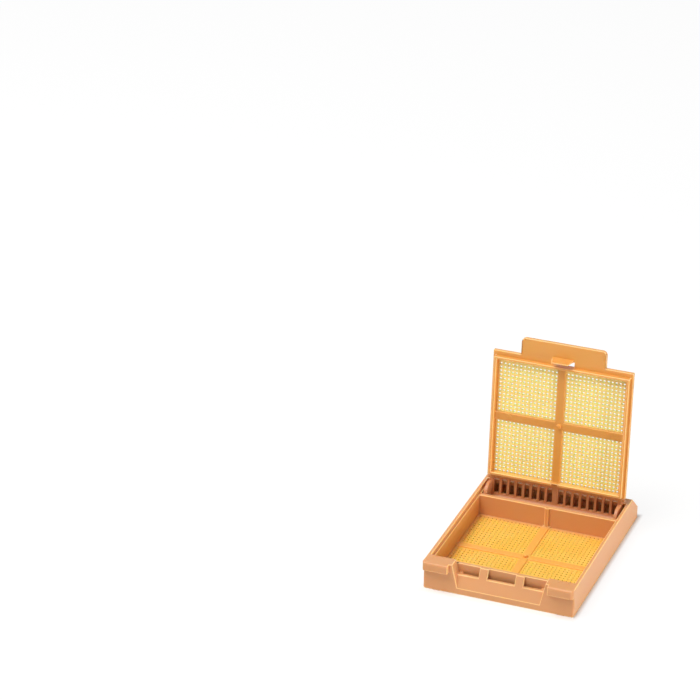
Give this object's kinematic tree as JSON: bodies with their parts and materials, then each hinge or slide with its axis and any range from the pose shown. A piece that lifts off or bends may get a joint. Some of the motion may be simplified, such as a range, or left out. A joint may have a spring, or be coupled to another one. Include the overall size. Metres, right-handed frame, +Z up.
{
  "type": "tissue cassette",
  "caption": "Flat histology cassette with a perforated floor, slanted writing face and a hinged perforated lid standing open.",
  "frame": {"origin": "centre of the base's footprint, on the surface it rests on", "axes": "+Z up, +Y from the latch end towards the writing face, X across the cassette"},
  "size_m": [0.0286, 0.0406, 0.0357],
  "materials": {
    "acetal_base": "fine matt moulded acetal, slightly translucent, tan orange",
    "acetal_lid": "fine matt moulded acetal, slightly translucent, tan orange"
  },
  "bodies": {
    "base": {"cassette_base": "acetal_base"},
    "lid": {"cassette_lid": "acetal_lid"}
  },
  "joints": [
    {"name": "lid_hinge", "type": "hinge", "parent": "base", "child": "lid", "pos_m": [0, 0.01176, 0.0039], "axis": [1, 0, 0], "range_deg": [0, 94]}
  ]
}
